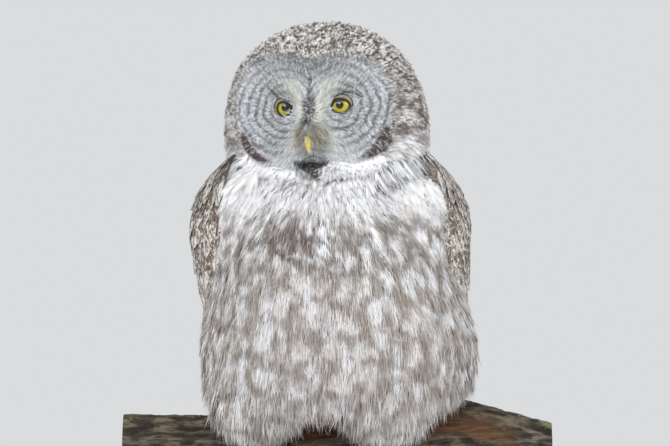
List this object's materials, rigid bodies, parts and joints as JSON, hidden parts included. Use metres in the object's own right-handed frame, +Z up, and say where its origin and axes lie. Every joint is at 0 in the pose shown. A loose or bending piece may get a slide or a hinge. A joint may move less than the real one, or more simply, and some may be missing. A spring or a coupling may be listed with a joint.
{
  "type": "perched great grey owl",
  "caption": "Life-size great grey owl standing upright on a cut length of branch, head turned slightly, wings folded, tail hanging, over a plain oval display stand on two rods.",
  "frame": {"origin": "middle of the stand's underside, under the middle of the perch", "axes": "+Z up, the owl's breast faces -Y, the owl's left side is towards +X and the perch lies along X"},
  "size_m": [0.43, 0.262, 0.6589],
  "materials": {
    "face_plumage": "matte, fine grey and white feathers",
    "body_plumage": "matte, soft whitish feathers with grey-brown streaks",
    "leg_plumage": "matte, hair-like whitish feathers",
    "flight_feathers": "matte, brown-grey vanes with pale bars",
    "eye": "wet gloss, yellow iris and black pupil",
    "bill": "smooth horn, yellow",
    "claw": "smooth horn, near black",
    "bark": "rough weathered bark",
    "stand_wood": "satin varnish",
    "stand_steel": "brushed"
  },
  "bodies": {
    "root": {"head": "face_plumage", "neck": "body_plumage", "torso": "body_plumage", "eye_right": "eye", "eye_left": "eye", "bill_upper": "bill", "bill_lower": "bill", "wing_right": "flight_feathers", "wing_left": "flight_feathers", "tail": "flight_feathers", "leg_right": "leg_plumage", "leg_left": "leg_plumage", "claw_right_inner_front": "claw", "claw_right_outer_front": "claw", "claw_right_inner_back": "claw", "claw_right_outer_back": "claw", "claw_left_inner_front": "claw", "claw_left_outer_front": "claw", "claw_left_inner_back": "claw", "claw_left_outer_back": "claw", "perch": "bark", "stand_base": "stand_wood", "stand_rod_right": "stand_steel", "stand_rod_left": "stand_steel"}
  },
  "joints": []
}
